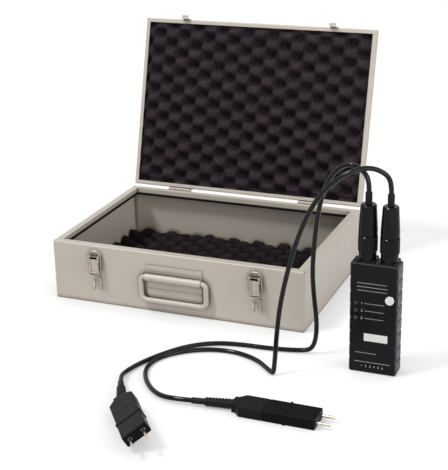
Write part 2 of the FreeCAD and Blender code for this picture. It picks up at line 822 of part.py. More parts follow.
door_outer = box(-door_half, door_half, tester_d - door_plate_t, tester_d + 1, door_bottom, door_top)
door_inner_x = door_half - door_ledge
door_inner = box(-door_inner_x, door_inner_x, inner_back - 1, tester_d, door_bottom + door_ledge,
                 door_top - door_head_ledge)
door_screw_z = door_top - door_screw_drop
back_shell = block.common(box(-tester_w, tester_w, seam_y, tester_d + 1, -1, tester_h + 1)).cut(hollow)
back_fill = [y_rod(post_r, x, z, seam_y, tester_d - tester_wall / 2) for x, z in post_places]
back_fill += [y_rod(board_boss_r, x, z, board_back, tester_d - tester_wall / 2) for x, z in boss_places]
back_fill.append(y_rod(post_r, 0, door_screw_z, tester_d - door_screw_len - tester_wall, inner_back))
back_shell = back_shell.fuse(back_fill)
head_seat = tester_d - screw_head_h - screw_fit
back_cuts = [y_rod(screw_r + screw_fit, x, z, seam_y - 1, tester_d + 1) for x, z in post_places]
back_cuts += [y_rod(screw_head_r + screw_fit, x, z, head_seat, tester_d + 1) for x, z in post_places]
back_cuts.append(y_rod(door_screw_r + screw_fit, 0, door_screw_z, tester_d - door_screw_len, tester_d + 1))
back_shell = back_shell.cut(back_cuts + socket_holes() + [door_outer, door_inner]).removeSplitter()
save_tester("tester_back_shell", back_shell)


def shell_screw(x, z):
    shank = y_rod(screw_r, x, z, seam_y - screw_bite + 1, head_seat)
    head = y_rod(screw_head_r, x, z, head_seat, head_seat + screw_head_h)
    slot = box(x - screw_head_r, x + screw_head_r, head_seat + screw_head_h / 2, tester_d + 1,
               z - screw_r / 4, z + screw_r / 4)
    return shank.fuse(head).cut(slot)


save_tester("tester_screws", *[shell_screw(x, z) for x, z in post_places])

# Battery door with its captive screw
door_x = door_half - door_gap
door_plug_x = door_inner_x - door_gap
door_seat = tester_d - door_plate_t
door = box(-door_x, door_x, door_seat, tester_d, door_bottom + door_gap, door_top - door_gap)
door = door.fuse(box(-door_plug_x, door_plug_x, inner_back, door_seat, door_bottom + door_ledge + door_gap,
                     door_top - door_head_ledge - door_gap)).removeSplitter()
door = door.cut(y_rod(door_screw_r + screw_fit, 0, door_screw_z, 0, tester_d + 1))
save_tester("battery_door", door)
door_screw = y_rod(door_screw_r, 0, door_screw_z, tester_d - door_screw_len + screw_fit, tester_d)
door_head = y_rod(screw_head_r, 0, door_screw_z, tester_d, tester_d + screw_head_h / 2)
door_slot = box(-screw_head_r, screw_head_r, tester_d + screw_head_h / 4, tester_d + screw_head_h,
                door_screw_z - screw_r / 4, door_screw_z + screw_r / 4)
save_tester("door_screw", door_screw.fuse(door_head).cut(door_slot))

# Battery, its snap-on clip, and the circuit board with its push switch
battery_back = inner_back - battery_gap
battery_low = tester_wall + battery_gap
battery_top = battery_low + battery_h
battery_mid = battery_back - battery_t / 2
battery = round_all(box(-battery_w / 2, battery_w / 2, battery_back - battery_t, battery_back, battery_low,
                        battery_top), battery_round)
studs = [rod(stud_r, V(x, battery_mid, battery_top - 1), V(x, battery_mid, battery_top + stud_h))
         for x in (-stud_x, stud_x)]
save_tester("battery", battery.fuse(studs))
clip = box(-battery_w / 2, battery_w / 2, battery_mid - clip_d / 2, battery_mid + clip_d / 2,
           battery_top, battery_top + clip_t)
cups = [rod(stud_r + pin_fit, V(x, battery_mid, battery_top - 1), V(x, battery_mid, battery_top + stud_h))
        for x in (-stud_x, stud_x)]
save_tester("battery_clip", clip.cut(cups))

board = box(-board_w / 2, board_w / 2, board_set, board_back, board_bottom, board_top)
chip_z = (board_bottom + board_top) / 2
chips = [box(x - chip_w / 2, x + chip_w / 2, board_back, board_back + chip_t, chip_z - chip_h / 2,
             chip_z + chip_h / 2) for x in (-chip_w, chip_w / 2)]
save_tester("circuit_board", board.fuse(chips))

flange_back = tester_wall + button_gap + button_flange_t
switch_front = flange_back + button_travel + button_gap
switch = box(button_x - switch_w / 2, button_x + switch_w / 2, switch_front, board_set,
             button_z - switch_w / 2, button_z + switch_w / 2)
save_tester("push_switch", switch)

# Test button, lamps, blanking caps and blank label on the face
button = y_rod(button_r, button_x, button_z, -button_proud, tester_wall + button_gap)
button = round_edges(button, button_round, lambda c: c.y < pin_fit - button_proud)
button = button.fuse(y_rod(button_r + button_flange, button_x, button_z, tester_wall + button_gap, flange_back))
save_tester("test_button", button)


def lamp(z):
    """Domed lamp in its hole, standing on the board by its spacer."""
    angles = [math.pi / 2 * step / dome_steps for step in range(dome_steps + 1)]
    arc = [(led_r * math.sin(angle), led_r * math.cos(angle)) for angle in angles]
    dome = turned([*arc,
                   (led_r, -led_proud - board_set), (0, -led_proud - board_set)])
    rim = Part.makeCylinder(led_rim_r, led_rim_h, V(0, 0, -led_proud - tester_wall - led_gap - led_rim_h))
    piece = dome.fuse(rim)
    piece.rotate(ORIGIN, ALONG_X, 90)
    return moved(piece, V(led_x, -led_proud, z))


save_tester("lamps", *[lamp(z) for z in led_zs])
blanking_caps = [round_edges(y_rod(cap_r, cap_x, z, -cap_proud, cap_set), cap_proud / 2,
                             lambda c: c.y < pin_fit - cap_proud) for z in cap_zs]
save_tester("blanking_caps", *blanking_caps)
label = box(label_x - label_w / 2, label_x + label_w / 2, -label_t, 0, label_z - label_h / 2,
            label_z + label_h / 2)
save_tester("blank_label", label)


# Round connectors: panel socket, mating plug, coupling ring and cable sleeve, each about its own Z axis
def socket():
    half = flange_w / 2
    flange = box(-half, half, -half, half, tester_h, flange_top)
    flange = round_edges(flange, flange_corner, lambda c: abs(c.z - tester_h - flange_t / 2) < pin_fit)
    holes = [rod(flange_screw_r + pin_fit, V(sx * flange_screw, sy * flange_screw, tester_h - 1),
                 V(sx * flange_screw, sy * flange_screw, flange_top + 1)) for sx in (-1, 1) for sy in (-1, 1)]
    barrel = rod(socket_r, V(0, 0, flange_top), V(0, 0, socket_top))
    rear = rod(socket_rear_r, V(0, 0, tester_h - socket_rear), V(0, 0, tester_h))
    bore = rod(socket_bore, V(0, 0, flange_top + socket_floor), V(0, 0, socket_top + 1))
    nut_top = ring_low - ring_gap
    nut = rod(socket_nut_r, V(0, 0, flange_top), V(0, 0, nut_top))
    nut = round_edges(nut, socket_nut_round, lambda c: c.z > nut_top - pin_fit)
    return flange.fuse([nut, barrel, rear]).cut(holes + [bore]).removeSplitter()


def flange_screw_piece():
    shank = rod(flange_screw_r, V(0, 0, tester_h), V(0, 0, flange_top))
    head = rod(flange_head_r, V(0, 0, flange_top), V(0, 0, flange_top + flange_head_h))
    head = round_edges(head, flange_head_h / 3, lambda c: c.z > flange_top + flange_head_h - pin_fit)
    slot = box(-flange_head_r, flange_head_r, -flange_screw_r / 4, flange_screw_r / 4,
               flange_top + flange_head_h / 2, flange_top + 2 * flange_head_h)
    return shank.fuse(head.cut(slot))


def plug():
    nose_r = socket_bore - plug_nose_gap
    nose_low = flange_top + socket_floor + plug_nose_gap
    groove_low = collar_bottom + plug_collar_h
    groove_high = groove_low + 2 * plug_groove
    return turned([(0, nose_low), (nose_r, nose_low), (nose_r, socket_top), (socket_r, socket_top),
                   (socket_r, neck_bottom), (plug_neck_r, neck_bottom), (plug_neck_r, collar_bottom),
                   (plug_collar_r - plug_chamfer, collar_bottom), (plug_collar_r, collar_bottom + plug_chamfer),
                   (plug_collar_r, groove_low), (plug_collar_r - plug_groove, groove_low),
                   (plug_collar_r - plug_groove, groove_high), (plug_collar_r - plug_groove / 4, groove_high),
                   (plug_top_r, plug_top - plug_top_round), (plug_top_r - plug_top_round, plug_top),
                   (0, plug_top)])


def coupling_ring():
    low = ring_low
    high = low + ring_h
    bore_r = socket_r + ring_gap
    ring = turned([(bore_r, low), (ring_r - ring_chamfer, low), (ring_r, low + ring_chamfer),
                   (ring_r, high - ring_chamfer), (ring_r - ring_chamfer, high),
                   (plug_neck_r + ring_gap, high), (plug_neck_r + ring_gap, high - ring_lip_t),
                   (bore_r, high - ring_lip_t)])
    cutters = []
    for number in range(knurl_count):
        angle = 2 * math.pi * number / knurl_count
        reach = ring_r + knurl_r - knurl_depth
        place = V(reach * math.cos(angle), reach * math.sin(angle), low - 1)
        cutters.append(rod(knurl_r, place, place + ALONG_Z * (ring_h + 2)))
    return ring.cut(cutters)


def cable_sleeve():
    return turned([(0, plug_top), (sleeve_r, plug_top), (sleeve_r, sleeve_top - sleeve_round),
                   (sleeve_r - sleeve_round, sleeve_top), (0, sleeve_top)])


socket_places = [V(x, socket_y, 0) for x in socket_xs]
for side, place in zip(("left", "right"), socket_places):
    save_tester("socket_" + side, moved(socket(), place))
    save_tester("plug_" + side, moved(plug(), place))
    save_tester("coupling_ring_" + side, moved(coupling_ring(), place))
    save_tester("cable_sleeve_" + side, moved(cable_sleeve(), place))
save_tester("socket_screws", *[moved(flange_screw_piece(), place + V(sx * flange_screw, sy * flange_screw, 0))
                               for place in socket_places for sx in (-1, 1) for sy in (-1, 1)])


# Probes, made with the shoulder at the origin and the pins towards +X
def probe_block(x0, x1):
    return box(x0, x1, -probe_w / 2, probe_w / 2, -probe_t / 2, probe_t / 2)


def probe_grip():
    half = probe_w / 2
    neck = half - shoulder
    low = -probe_t / 2
    side = [(-shoulder - neck_len, neck), (-shoulder, neck), (0, half), (grip_len, half)]
    corners = [V(x, y, low) for x, y in side] + [V(x, -y, low) for x, y in reversed(side)]
    grip = Part.Face(Part.makePolygon(corners + corners[:1])).extrude(V(0, 0, probe_t))
    grip = round_edges(grip, probe_edge_r, lambda c: -shoulder - neck_len + pin_fit < c.x < grip_len - pin_fit)
    return grip.makeChamfer(probe_seam, [edge for edge in grip.Edges if edge.CenterOfMass.x > grip_len - pin_fit])


def probe_body():
    body = round_all(probe_block(grip_len, probe_len), probe_edge_r)
    ridge = box(ridge_at, ridge_at + ridge_len, -probe_w / 2 - ridge_h, probe_w / 2 + ridge_h,
                -probe_t / 2, probe_t / 2 + ridge_h)
    ridge = round_edges(ridge, ridge_h, lambda c: c.z > -probe_t / 2 + pin_fit)
    holes = [rod(probe_pin_root_r, V(probe_len - probe_pin_set, y, 0), V(probe_len + 1, y, 0)) for y in pin_ys]
    return body.fuse(ridge).cut(holes)


def probe_pin(y):
    """Contact pin whose thicker root is moulded into the body, at the bottom of a small well."""
    root_end = V(probe_len - probe_pin_well, y, 0)
    root = rod(probe_pin_root_r, V(probe_len - probe_pin_set, y, 0), root_end)
    pin = rod(probe_pin_r, root_end, V(probe_len + probe_pin_len, y, 0))
    tip = probe_len + probe_pin_len - pin_fit
    pin = pin.makeChamfer(probe_pin_tip, [edge for edge in pin.Edges if edge.CenterOfMass.x > tip])
    return root.fuse(pin)


def probe_boot(place, turn):
    """Ribbed boot from the grip's neck, bent aside by its own yaw and pitch, with a round root."""
    ribs_start = boot_root_len
    ribs_end = boot_len - boot_sleeve_len
    pitch = (ribs_end - ribs_start) / boot_ribs
    profile = [(0, 0), (boot_root_r, 0), (boot_root_r - boot_rib_depth, ribs_start)]
    for number in range(boot_ribs):
        z = ribs_start + number * pitch
        r = boot_root_r + (boot_tip_r - boot_root_r) * (number + 1) / boot_ribs
        profile += [(r, z + rib_rise_end * pitch), (r, z + rib_top_end * pitch),
                    (r - boot_rib_depth, z + rib_fall_end * pitch),
                    (r - boot_rib_depth, z + pitch)]
    profile += [(boot_sleeve_r, ribs_end), (boot_sleeve_r, boot_len), (0, boot_len)]
    boot = turned(profile).fuse(Part.makeSphere(boot_root_r))
    boot.rotate(ORIGIN, ALONG_Y, -90)
    boot = at_probe(boot, (neck_end(place), turn[0], turn[1], 0))
    keep_off = box(-shoulder - neck_len, grip_len, -probe_w, probe_w, -probe_w, probe_w)
    return boot.cut(at_probe(keep_off, place))


def at_probe(shape, place):
    spot, yaw, pitch, roll = place
    copy = spun(shape, ORIGIN, ALONG_X, roll)
    copy.rotate(ORIGIN, ALONG_Y, -pitch)
    copy.rotate(ORIGIN, ALONG_Z, yaw)
    return moved(copy, spot)


def along_probe(x, place):
    return at_probe(Part.Vertex(V(x, 0, 0)), place).Point


def neck_end(place):
    return along_probe(-shoulder - neck_len, place)


pin_ys = (-probe_pin_pitch / 2, probe_pin_pitch / 2)
for name, place, turn in (("a", probe_a_place, boot_a_turn), ("b", probe_b_place, boot_b_turn)):
    save("probe_" + name + "_boot", probe_boot(place, turn))
    save("probe_" + name + "_grip", at_probe(probe_grip(), place))
    save("probe_" + name + "_body", at_probe(probe_body(), place))
    save("probe_" + name + "_pins", *[at_probe(probe_pin(y), place) for y in pin_ys])


# Leads from the sleeves to the boots
def lead_points(socket_place, way, place, turn):
    start = tester_place + socket_place + V(0, 0, sleeve_top)
    boot_line = (neck_end(place), turn[0], turn[1], 0)
    tail = [along_probe(x, boot_line) for x in (-boot_len - lead_end_run, -boot_len)]
    return [start, start + V(0, 0, lead_first_run)] + [V(*point) for point in way] + tail


for side, socket_place, way, place, turn in (
        ("left", socket_places[0], lead_left_way, probe_a_place, boot_a_turn),
        ("right", socket_places[1], lead_right_way, probe_b_place, boot_b_turn)):
    points = lead_points(socket_place, way, place, turn)
    lead, length, radii = bent_rod(points, lead_r)
    save("lead_" + side, lead)
    runs = [(b - a).Length for a, b in zip(points, points[1:])]
    print("  length", round(length, 1), "volume over section x length",
          round(lead.Volume / (math.pi * lead_r ** 2 * length), 4))
    print("  runs", [round(run, 1) for run in runs])
    print("  radii", [round(radius, 1) for radius in radii])
    print("  first and last points", [[round(c, 2) for c in p] for p in points[:2] + points[-2:]])
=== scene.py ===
import bpy
import json
import math
from mathutils import Matrix, Quaternion, Vector


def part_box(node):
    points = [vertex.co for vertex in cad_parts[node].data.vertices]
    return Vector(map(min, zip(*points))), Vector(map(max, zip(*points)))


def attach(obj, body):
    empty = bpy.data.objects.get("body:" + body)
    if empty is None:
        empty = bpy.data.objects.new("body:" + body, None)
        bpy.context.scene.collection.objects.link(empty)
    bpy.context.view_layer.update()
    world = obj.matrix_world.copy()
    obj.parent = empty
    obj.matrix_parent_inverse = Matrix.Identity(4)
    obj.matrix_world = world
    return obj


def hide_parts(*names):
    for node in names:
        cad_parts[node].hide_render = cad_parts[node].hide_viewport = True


# Looks of the phase tester, its two probe leads and its open foam-lined carry case, in metres
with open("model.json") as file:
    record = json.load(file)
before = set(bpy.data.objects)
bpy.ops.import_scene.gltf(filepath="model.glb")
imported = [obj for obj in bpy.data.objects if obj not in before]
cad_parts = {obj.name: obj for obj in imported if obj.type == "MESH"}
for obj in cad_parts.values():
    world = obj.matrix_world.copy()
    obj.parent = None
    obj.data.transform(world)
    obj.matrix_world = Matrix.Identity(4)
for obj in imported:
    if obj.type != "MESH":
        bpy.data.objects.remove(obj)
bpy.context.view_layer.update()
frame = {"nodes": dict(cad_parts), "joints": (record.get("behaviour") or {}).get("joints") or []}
nodes = frame["nodes"]
scene = bpy.context.scene
scene.view_settings.view_transform = "Standard"
MM = 0.001
both_sides = ("left", "right")

# Camera, fitted to the photograph's edges
camera_target = Vector((22.3, 0.0, 78.0)) * MM
camera_distance = 1885.4 * MM
camera_azimuth = math.radians(22.36)
camera_elevation = math.radians(20.48)
camera_roll = math.radians(-1.30)
camera_lens = 93.13
camera_sensor = 36.0

# Studio: a paper floor, a high key lamp from the left, and two softboxes
floor_half = 9.0
floor_drop = 0.05 * MM
floor_white = 0.62
floor_seen = 0.32
floor_lift = 0.77
# Painted contact shadow: the floor's glow dims near what stands on it
painted_shadow_reach = 60.0 * MM
painted_shadow_depth = 0.58
painted_shadow_rays = 16
sky_white = 0.24
key_from = Vector((-0.4, -0.33, 0.86))
key_strength = 1.95
key_softness = math.radians(12)
front_place = Vector((1.3, -1.9, 0.35))
front_size = 0.8
front_power = 8.0
side_place = Vector((2.3, -0.8, 1.0))
side_size = 1.6
side_power = 22.0

# Span of soft noise between its dark and its light blotches
noise_low = 0.3
noise_high = 0.7

# Stove enamel of the case, with painted shade in its crevices
crevice_shade_reach = 8.0 * MM
crevice_shade_rays = 8
enamel_unshaded_share = 0.85
enamel_blotch = 90.0 * MM
enamel_blotch_share = 0.25
enamel_shade_stop = 0.35
enamel_unshaded_stop = 0.95
enamel_gloss_blotch = 25.0 * MM
enamel_rough = (0.36, 0.46)
enamel_peel = 1.6 * MM
enamel_peel_depth = 0.035 * MM

# Moulded plastic and rubber
plastic_blotch = 14.0 * MM
plastic_gloss_blotch = 8.0 * MM
plastic_grain = 0.5 * MM
plastic_grain_depth = 0.03 * MM
plastic_shine = 0.14
print_grain = 0.3 * MM
print_grain_depth = 0.004 * MM

# Rounded edges: painted pale, a painted highlight, and rubbed shinier by hands
edge_square = 0.99
edge_round = 0.85
highlight_edge_share = 0.7
highlight_blotch_share = 0.3
highlight_start = 0.2
highlight_end = 1.0
worn_gloss_share = -0.4

# Plated metal
plating_blotch = 4.0 * MM
drawing_line = 0.5 * MM
drawing_relief = 0.35 * MM
drawing_depth = 0.008 * MM
drawing_stretch = (1, 1, 8)

# Open-cell foam
foam_shine = 0.05
cell_size = 1.3 * MM
cell_share = 0.2
cell_depth = 0.45 * MM
speckle_size = 2.6 * MM
speckle_low = 0.36
speckle_high = 0.64
speckle_share = 0.4
# Share of the height in the foam's colour: painted light on the bumps, painted shade in the pits
rise_light_share = 0.5
foam_shade_end = 0.1
foam_light_end = 0.95
tear_size = 3.6 * MM
tear_depth = 1.2 * MM

# Egg-crate form of the foam pads
foam_pitch = (44.5 * MM, 31.0 * MM)
foam_skew = math.radians(2.7)
foam_bump = 13.0 * MM
foam_cell = 2.4 * MM
foam_blotch = 48.0 * MM
foam_lowest_bump = 0.7
foam_pit_wave = -0.75
foam_top_wave = 0.7
foam_sharp_edge = math.radians(50)
base_foam_thickness = 6.8 * MM
lid_foam_thickness = 4.6 * MM
lid_foam_margin = 10.1 * MM
foam_fade = 2.5 * MM
lid_foam_edge = 0.42
lid_valley_height = 99.3 * MM
steel_sheet = 1.2 * MM

# Two-tone sleeve of the battery
battery_band = 12.0 * MM
sleeve_rough = 0.4
sleeve_wrinkle = 2.0 * MM
sleeve_wrinkle_depth = 0.02 * MM

# Smoothness of round bars along their path
path_order = 3
path_steps = 12

# Painted shade: a thin black sheet that stands for the dark slot of each latch lever, measured on its face
lever_face = 8.4 * MM
lever_slot_w = 11.8 * MM
lever_slot_h = 3.3 * MM
lever_slot_t = 0.08 * MM
lever_slot_drop = 2.1 * MM
lever_slot_steps = 6

# Bead round the lower part of each latch lever, measured from the middle of its lower edge
lever_bead_r = 1.15 * MM
lever_bead_half = 5.7 * MM
lever_bead_low = 3.4 * MM
lever_bead_top = 25.0 * MM
lever_bead_corner = 2.5 * MM
lever_bead_roundness = 4

# Leads: the route's points in millimetres, from the cable sleeve to the probe's boot
lead_diameter = 6.5 * MM
lead_roundness = 6
lead_left_route = [
    (310.8, -216.5, 247.8), (310.8, -216.5, 262.3), (303, -216, 274.5), (287.5, -214.5, 282),
    (270.5, -212, 275.5), (256.5, -209, 259), (246, -206, 235), (239, -203.5, 204),
    (234, -202, 164), (231, -200.8, 122), (233.5, -200.2, 84), (237.6, -199.9, 49),
    (236.2, -200, 22), (229.5, -199.7, 6.2), (214, -201, 3.3), (196, -205.5, 3.4), (170, -209.5, 3.4),
    (132, -210.5, 3.3), (96, -217.5, 3.4), (64, -239, 3.3), (42, -270.5, 3.4),
    (23, -309, 3.3), (17, -341, 4.6), (20.5, -363.76, 8.24), (29.86, -381.37, 9.81)]
lead_right_route = [
    (339.8, -216.5, 247.8), (339.8, -216.5, 262.3), (333, -221.5, 276), (315, -231, 285),
    (291, -240.5, 279.5), (269, -249, 263), (251.5, -256, 240.5), (237.5, -260.7, 210),
    (226.5, -265, 176), (217, -268.7, 136), (210, -271.7, 98), (206.4, -273.7, 62),
    (204.8, -275.3, 33), (203.9, -276.6, 17), (203, -278.2, 4.6), (199.5, -276.2, 3.3), (190, -267.8, 3.4),
    (172, -251, 3.3), (149, -240, 3.4), (124, -235, 3.3), (93, -240, 3.4),
    (62, -258, 3.3), (40, -285, 3.4), (35.5, -315, 3.3), (46, -344, 3.4),
    (66, -370.5, 3.3), (89, -388, 4.6), (114.35, -393.13, 7.25), (134.12, -390.11, 7.25)]

# Printing on the tester's face, each place measured from the middle of its lower edge
ink_thickness = 0.06 * MM
ink_line = 0.85 * MM
heading_count = 3
heading_pitch = 5.2 * MM
heading_w = 40.0 * MM
heading_place = (-2.0 * MM, 128.0 * MM)
lamp_count = 3
lamp_row_w = 26.0 * MM
lamp_row_x = 1.5 * MM
lamp_number_size = 5.2 * MM
lamp_number_x = -15.2 * MM
rating_w = 28.0 * MM
rating_place = (-9.0 * MM, 29.0 * MM)
foot_w = 48.0 * MM
foot_place = (0.0, 16.0 * MM)
foot_numbers = "1   2   3   4   5   6"
foot_number_size = 4.2 * MM
foot_number_place = (0.0, 10.0 * MM)


def linear(red, green, blue):
    """A colour as the eye reads it, from 0 to 255, as the renderer's linear values."""
    shares = (value / 255 for value in (red, green, blue))
    return tuple(s / 12.92 if s <= 0.04045 else ((s + 0.055) / 1.055) ** 2.4 for s in shares)


def stand(name, data):
    """A new object in the scene, at the origin."""
    piece = bpy.data.objects.new(name, data)
    scene.collection.objects.link(piece)
    return piece


def add(tree, kind, inputs=None, **settings):
    """A new node with its settings, and its inputs joined to other nodes' outputs or set to values."""
    node = tree.nodes.new(kind)
    for name, value in settings.items():
        setattr(node, name, value)
    for name, value in (inputs or {}).items():
        if isinstance(value, bpy.types.NodeSocket):
            tree.links.new(value, node.inputs[name])
        else:
            node.inputs[name].default_value = value
    return node


def sums(tree, operation, *values):
    """The output of a math node."""
    return add(tree, "ShaderNodeMath", dict(enumerate(values)), operation=operation).outputs[0]


def spread(tree, value, old, new=(0.0, 1.0), curve="LINEAR"):
    """A value stretched from one span to another."""
    inputs = {"Value": value, "From Min": old[0], "From Max": old[1], "To Min": new[0], "To Max": new[1]}
    return add(tree, "ShaderNodeMapRange", inputs, interpolation_type=curve).outputs["Result"]


def open_share(tree, reach, rays):
    """1 where nothing stands nearer than the reach, and less in corners and under things."""
    return add(tree, "ShaderNodeAmbientOcclusion", {"Distance": reach}, samples=rays).outputs["AO"]


class Finish:
    """A material on object coordinates, whose colour, gloss and relief are built up in steps."""

    def __init__(self, name, **sockets):
        self.material = bpy.data.materials.new(name)
        self.material.use_nodes = True
        self.tree = self.material.node_tree
        self.shader = self.tree.nodes["Principled BSDF"]
        self.place = add(self.tree, "ShaderNodeTexCoord").outputs["Object"]
        self.normal = None
        for socket, value in sockets.items():
            self.shader.inputs[socket.replace("_", " ")].default_value = value

    def grain(self, size, detail=2.0, stretch=(1, 1, 1)):
        """Soft noise whose blotches are about one size across."""
        scaled = add(self.tree, "ShaderNodeMapping", {"Vector": self.place, "Scale": stretch})
        noise = {"Vector": scaled.outputs[0], "Scale": 1 / size, "Detail": detail}
        return add(self.tree, "ShaderNodeTexNoise", noise).outputs["Fac"]

    def cells(self, size):
        """Distance from the middle of packed cells of one size."""
        spots = {"Vector": self.place, "Scale": 1 / size}
        return add(self.tree, "ShaderNodeTexVoronoi", spots).outputs["Distance"]

    def rounded(self):
        """1 on rounded edges and corners, 0 on the faces that stand square to the axes."""
        facing = add(self.tree, "ShaderNodeTexCoord").outputs["Normal"]
        parts = add(self.tree, "ShaderNodeSeparateXYZ", {0: facing}).outputs
        squarest = 0.0
        for axis in "XYZ":
            squarest = sums(self.tree, "MAXIMUM", sums(self.tree, "ABSOLUTE", parts[axis]), squarest)
        return spread(self.tree, squarest, (edge_square, edge_round), curve="SMOOTHSTEP")

    def mixed(self, *parts):
        """The sum of several factors, each times its share."""
        total = 0.0
        for factor, share in parts:
            total = sums(self.tree, "MULTIPLY_ADD", factor, share, total)
        return total

    def colour(self, factor, dark, light, low=noise_low, high=noise_high):
        ramp = add(self.tree, "ShaderNodeValToRGB", {"Fac": factor})
        for stop, place, shade in zip(ramp.color_ramp.elements, (low, high), (dark, light)):
            stop.position = place
            stop.color = (*linear(*shade), 1)
        self.tree.links.new(ramp.outputs["Color"], self.shader.inputs["Base Color"])

    def gloss(self, factor, rough):
        self.tree.links.new(spread(self.tree, factor, (noise_low, noise_high), rough),
                            self.shader.inputs["Roughness"])

    def relief(self, factor, height):
        bump = add(self.tree, "ShaderNodeBump", {"Height": factor, "Distance": height})
        if self.normal:
            self.tree.links.new(self.normal, bump.inputs["Normal"])
        self.normal = bump.outputs["Normal"]
        self.tree.links.new(self.normal, self.shader.inputs["Normal"])


# Finishes
def enamel(name, painted_shade_colour, unshaded_colour):
    """Satin stove enamel with a faint orange peel and painted shade darkening its crevices."""
    finish = Finish(name)
    # Painted shade: darker where other parts stand near, mixed with random tone
    unshaded_and_tone = finish.mixed((open_share(finish.tree, crevice_shade_reach, crevice_shade_rays), enamel_unshaded_share),
                             (finish.grain(enamel_blotch, detail=4), enamel_blotch_share))
    finish.colour(unshaded_and_tone, painted_shade_colour, unshaded_colour, enamel_shade_stop, enamel_unshaded_stop)
    finish.gloss(finish.grain(enamel_gloss_blotch, detail=3), enamel_rough)
    finish.relief(finish.grain(enamel_peel), enamel_peel_depth)
    return finish.material


def moulding(name, dark, light, rough, grain=plastic_grain, depth=plastic_grain_depth, shine=plastic_shine):
    """Spark-eroded plastic or rubber: a fine even grain, a little uneven in colour and gloss."""
    finish = Finish(name, Specular_IOR_Level=shine)
    finish.colour(finish.grain(plastic_blotch, detail=3), dark, light)
    finish.gloss(finish.grain(plastic_gloss_blotch), rough)
    finish.relief(finish.grain(grain, detail=1), depth)
    return finish.material


def highlighted_moulding(name, dark, painted_light, rough, shine):
    """Moulded plastic whose rounded edges are painted pale, a painted highlight, and rubbed shinier by hands.
    """
    finish = Finish(name, Specular_IOR_Level=shine)
    edges = finish.rounded()
    # Painted highlight: paler on rounded edges, mixed with random tone
    highlight_and_tone = finish.mixed((edges, highlight_edge_share), (finish.grain(plastic_blotch, detail=3), highlight_blotch_share))
    finish.colour(highlight_and_tone, dark, painted_light, highlight_start, highlight_end)
    finish.gloss(finish.mixed((edges, worn_gloss_share), (finish.grain(plastic_gloss_blotch), 1.0)), rough)
    finish.relief(finish.grain(plastic_grain, detail=1), plastic_grain_depth)
    return finish.material


def plated(name, dark, light, rough):
    """Plated metal with fine drawing lines."""
    finish = Finish(name, Metallic=1.0)
    finish.colour(finish.grain(plating_blotch, detail=3), dark, light)
    finish.gloss(finish.grain(drawing_line, stretch=drawing_stretch), rough)
    finish.relief(finish.grain(drawing_relief, detail=1, stretch=drawing_stretch), drawing_depth)
    return finish.material


def open_cell_foam(name, black, painted_light):
    """Cut polyurethane foam: open cells, dull, with painted light greying the bumps and painted shade
    blackening the pits.
    """
    finish = Finish(name, Roughness=1.0, Specular_IOR_Level=foam_shine)
    cells = finish.cells(cell_size)
    rise = add(finish.tree, "ShaderNodeAttribute", attribute_name="rise").outputs["Fac"]
    speckle = spread(finish.tree, finish.grain(speckle_size, detail=5), (speckle_low, speckle_high))
    # Painted light and shade: paler where the foam rises, darker in its pits, with random speckle
    light_and_tone = finish.mixed((rise, rise_light_share), (speckle, speckle_share), (cells, cell_share))
    finish.colour(light_and_tone, black, painted_light, foam_shade_end, foam_light_end)
    finish.relief(cells, cell_depth)
    finish.relief(finish.grain(tear_size, detail=4), tear_depth)
    return finish.material


def banded(name, lower, upper, turn_z):
    """Two-tone sleeve: one colour below a height and the other above it."""
    finish = Finish(name, Roughness=sleeve_rough)
    height = add(finish.tree, "ShaderNodeSeparateXYZ", {0: finish.place}).outputs["Z"]
    finish.colour(sums(finish.tree, "GREATER_THAN", height, turn_z), lower, upper)
    finish.relief(finish.grain(sleeve_wrinkle), sleeve_wrinkle_depth)
    return finish.material


